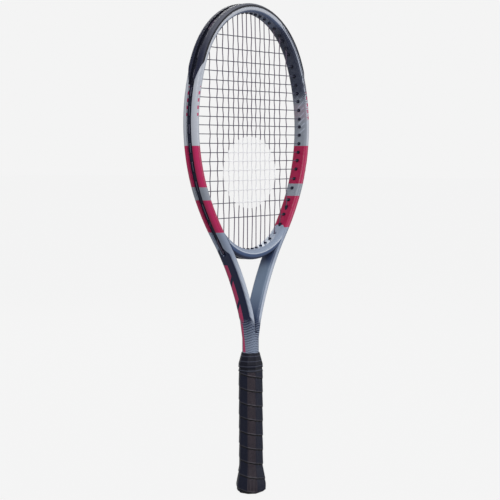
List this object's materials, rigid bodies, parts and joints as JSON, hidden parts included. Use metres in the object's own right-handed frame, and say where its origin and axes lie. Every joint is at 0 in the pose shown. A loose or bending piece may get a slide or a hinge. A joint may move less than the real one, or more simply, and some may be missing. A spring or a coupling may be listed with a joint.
{
  "type": "tennis racket",
  "caption": "Strung tennis racket: hollow moulded frame with an open throat, bumper and grommet strips, woven string bed, wrapped octagonal handle with butt cap.",
  "frame": {"origin": "centre of the butt end's face, at the bottom of the upright racket", "axes": "+Z from the butt to the tip of the head, +X across the face, +Y through the beam from the front face to the back face"},
  "size_m": [0.272, 0.0378, 0.685],
  "materials": {
    "painted_composite": "painted composite in bands of silver-blue, crimson and slate under clear lacquer",
    "painted_bridge": "slate-blue paint under clear lacquer",
    "core_foam": "rigid foam",
    "guard_plastic": "moulded nylon, satin",
    "grommet_plastic": "moulded nylon, satin",
    "string_mauve": "smooth monofilament",
    "string_grey": "smooth monofilament",
    "pallet_foam": "moulded foam",
    "cap_plastic": "moulded nylon",
    "staple_steel": "plated wire",
    "grip_skin": "perforated soft synthetic, matt",
    "tape": "vinyl-coated tape",
    "collar_rubber": "matt rubber"
  },
  "bodies": {
    "racket": {"frame": "painted_composite", "throat_bridge": "painted_bridge", "bridge_core": "core_foam", "bumper_guard": "guard_plastic", "grommet_strip_left": "grommet_plastic", "grommet_strip_right": "grommet_plastic", "grommet_strip_throat": "grommet_plastic", "main_strings": "string_mauve", "cross_strings": "string_grey", "handle_pallet_front": "pallet_foam", "handle_pallet_rear": "pallet_foam", "butt_cap": "cap_plastic", "butt_cap_staples": "staple_steel", "grip_staple": "staple_steel", "base_grip": "grip_skin", "finishing_tape": "tape"},
    "butt_door": {"butt_cap_door": "cap_plastic"},
    "collar": {"rubber_collar": "collar_rubber"}
  },
  "joints": [
    {"name": "butt_door_slide", "type": "slide", "parent": "racket", "child": "butt_door", "axis": [0, 0, -1], "range_m": [0, 0.02]},
    {"name": "collar_slide", "type": "slide", "parent": "racket", "child": "collar", "axis": [0, 0, 1], "range_m": [0, 0.02]}
  ]
}
